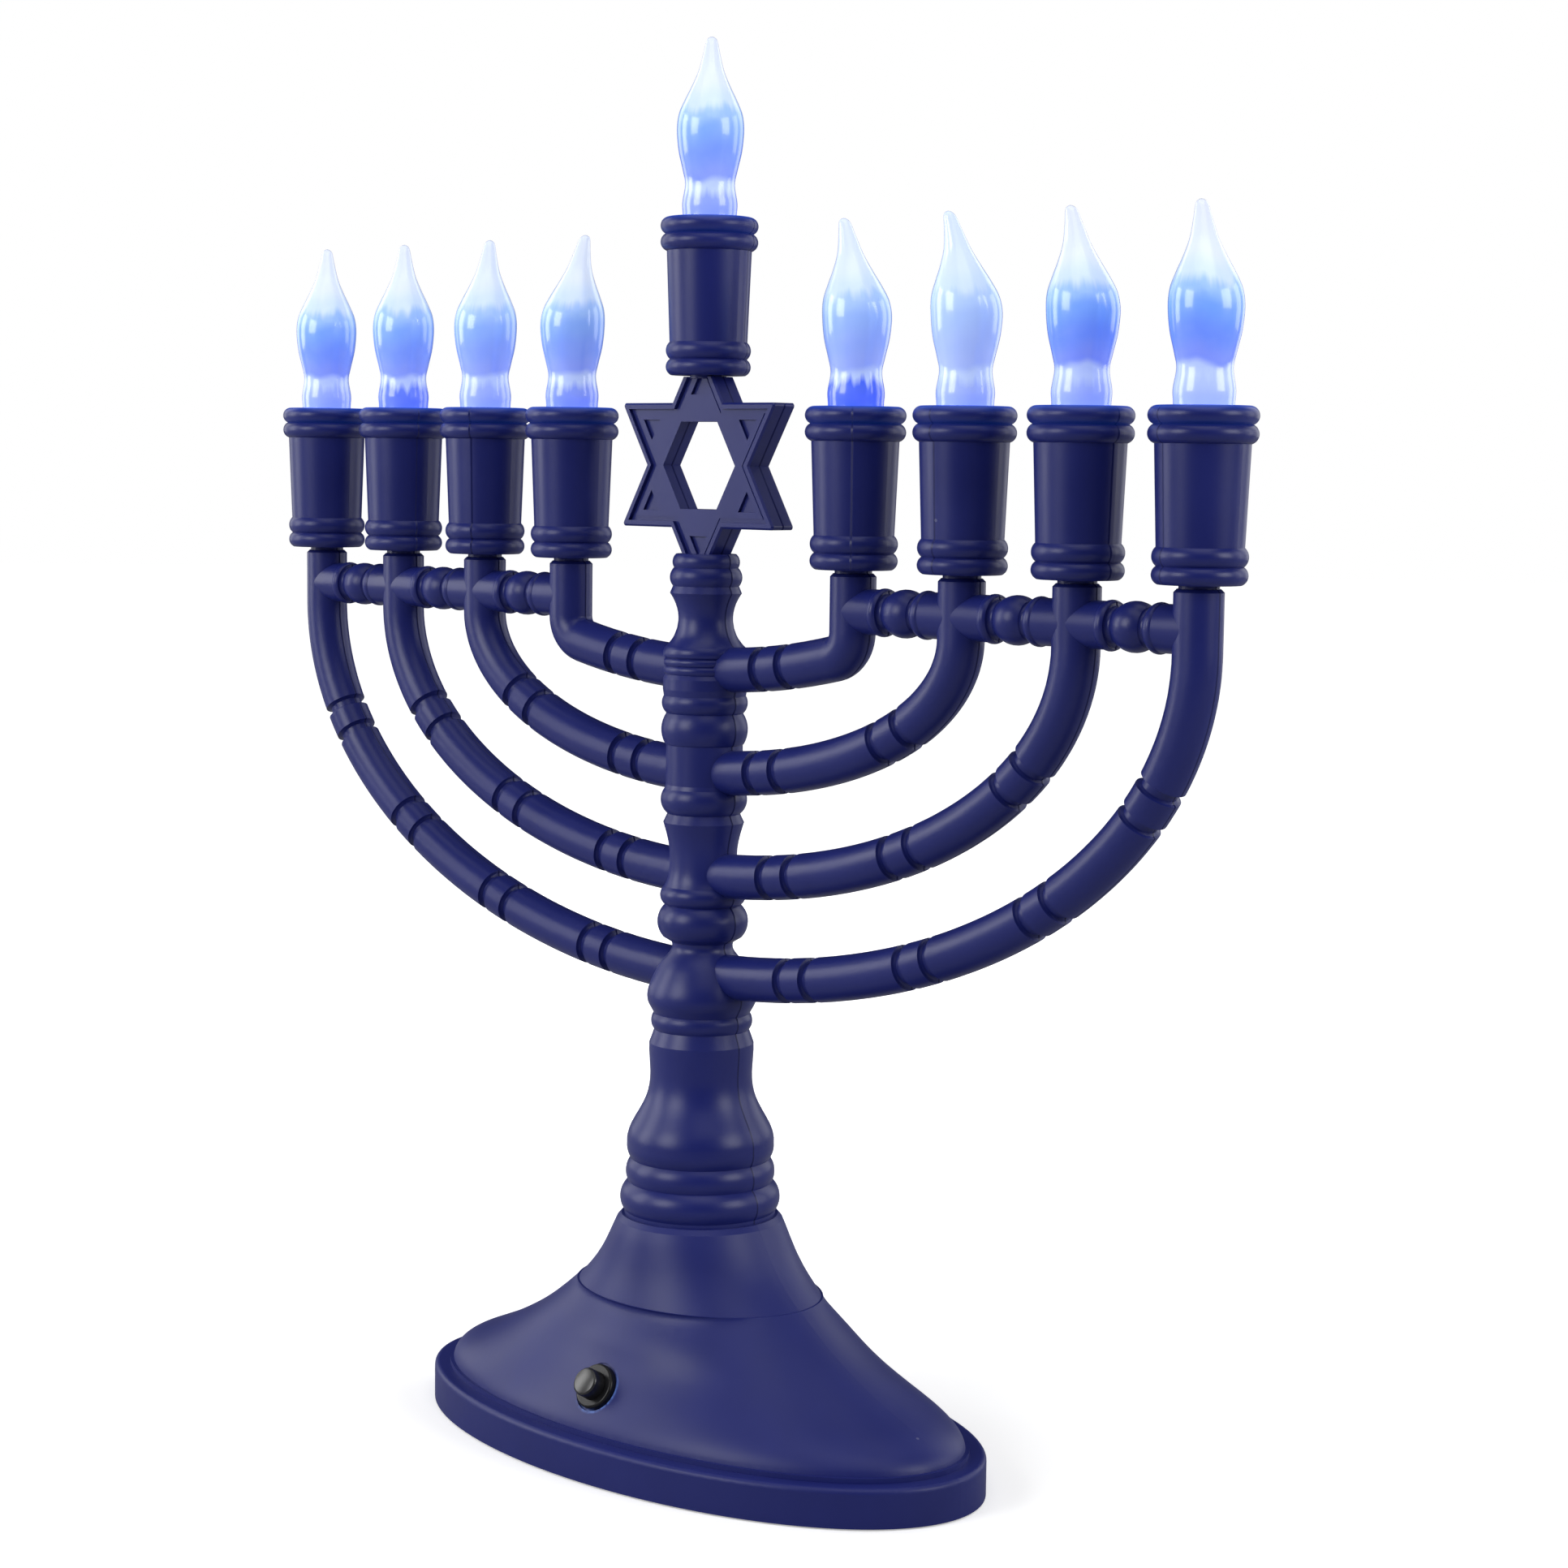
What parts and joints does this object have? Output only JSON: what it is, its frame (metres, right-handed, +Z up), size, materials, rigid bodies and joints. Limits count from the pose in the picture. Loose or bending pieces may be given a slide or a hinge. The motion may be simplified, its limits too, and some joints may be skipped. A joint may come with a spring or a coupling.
{
  "type": "electric menorah",
  "caption": "Battery-lit electric menorah: oval domed base with a push button, turned stem, nested curved arms with cups and flame lamps, and a six-pointed star under a raised centre lamp.",
  "frame": {"origin": "on the table plane under the rubber feet, on the stem's axis", "axes": "+Z up along the stem, +X towards the right-hand arms seen from the front, -Y towards the front, the button side"},
  "size_m": [0.3026, 0.086, 0.33],
  "materials": {
    "navy_plastic": "satin navy moulding with a fine cloudy grain",
    "black_gloss_plastic": "gloss black",
    "black_plastic": "fine texture",
    "rubber": "moulded matt",
    "zinc_steel": "zinc plated",
    "nickel_steel": "nickel plated",
    "battery_jacket": "plain printed jacket, no markings",
    "board_green": "solder mask",
    "lamp_shell": "frosted translucent plastic lit blue from inside",
    "clear_epoxy": "clear cast lens",
    "wire_jacket": "flexible jacket"
  },
  "bodies": {
    "base": {"base_cover": "navy_plastic", "stem_front_shell": "navy_plastic", "stem_rear_shell": "navy_plastic", "right_arms_front": "navy_plastic", "right_arms_rear": "navy_plastic", "left_arms_front": "navy_plastic", "left_arms_rear": "navy_plastic", "cup_1": "navy_plastic", "cup_2": "navy_plastic", "cup_3": "navy_plastic", "cup_4": "navy_plastic", "cup_5": "navy_plastic", "cup_6": "navy_plastic", "cup_7": "navy_plastic", "cup_8": "navy_plastic", "cup_shamash": "navy_plastic", "button_body": "black_gloss_plastic", "wire_socket": "black_gloss_plastic", "control_chip": "black_gloss_plastic", "button_nut": "black_gloss_plastic", "bottom_plate": "black_plastic", "led_holders": "black_plastic", "stem_nut": "black_plastic", "rubber_feet": "rubber", "base_screws": "zinc_steel", "board_screws": "zinc_steel", "button_spring": "zinc_steel", "button_terminals": "zinc_steel", "battery_contacts": "nickel_steel", "battery_springs": "nickel_steel", "battery_1": "battery_jacket", "battery_2": "battery_jacket", "battery_3": "battery_jacket", "circuit_board": "board_green", "leds": "clear_epoxy", "wire_harness": "wire_jacket"},
    "button": {"button_cap": "black_gloss_plastic"},
    "battery_door": {"battery_door": "black_plastic"},
    "flame_1": {"flame_1": "lamp_shell"},
    "flame_2": {"flame_2": "lamp_shell"},
    "flame_3": {"flame_3": "lamp_shell"},
    "flame_4": {"flame_4": "lamp_shell"},
    "flame_5": {"flame_5": "lamp_shell"},
    "flame_6": {"flame_6": "lamp_shell"},
    "flame_7": {"flame_7": "lamp_shell"},
    "flame_8": {"flame_8": "lamp_shell"},
    "flame_shamash": {"flame_shamash": "lamp_shell"}
  },
  "joints": [
    {"name": "button_press", "type": "slide", "parent": "base", "child": "button", "axis": [0, 0.866, -0.5], "range_m": [0, 0.0018], "stiffness_N_per_m": 900, "springref_m": -0.0012, "deforming": ["button_spring"]},
    {"name": "battery_door_hinge", "type": "hinge", "parent": "base", "child": "battery_door", "pos_m": [-0.0261, 0.0023, 0.0025], "axis": [0, 1, 0], "range_deg": [0, 100]},
    {"name": "flame_1_twist", "type": "hinge", "parent": "base", "child": "flame_1", "pos_m": [-0.14, 0, 0.2453], "axis": [0, 0, 1], "continuous": true},
    {"name": "flame_2_twist", "type": "hinge", "parent": "base", "child": "flame_2", "pos_m": [-0.1089, 0, 0.2453], "axis": [0, 0, 1], "continuous": true},
    {"name": "flame_3_twist", "type": "hinge", "parent": "base", "child": "flame_3", "pos_m": [-0.0775, 0, 0.2453], "axis": [0, 0, 1], "continuous": true},
    {"name": "flame_4_twist", "type": "hinge", "parent": "base", "child": "flame_4", "pos_m": [-0.046, 0, 0.2453], "axis": [0, 0, 1], "continuous": true},
    {"name": "flame_5_twist", "type": "hinge", "parent": "base", "child": "flame_5", "pos_m": [0.046, 0, 0.2453], "axis": [0, 0, 1], "continuous": true},
    {"name": "flame_6_twist", "type": "hinge", "parent": "base", "child": "flame_6", "pos_m": [0.0775, 0, 0.2453], "axis": [0, 0, 1], "continuous": true},
    {"name": "flame_7_twist", "type": "hinge", "parent": "base", "child": "flame_7", "pos_m": [0.1089, 0, 0.2453], "axis": [0, 0, 1], "continuous": true},
    {"name": "flame_8_twist", "type": "hinge", "parent": "base", "child": "flame_8", "pos_m": [0.14, 0, 0.2453], "axis": [0, 0, 1], "continuous": true},
    {"name": "flame_shamash_twist", "type": "hinge", "parent": "base", "child": "flame_shamash", "pos_m": [0, 0, 0.2886], "axis": [0, 0, 1], "continuous": true}
  ]
}
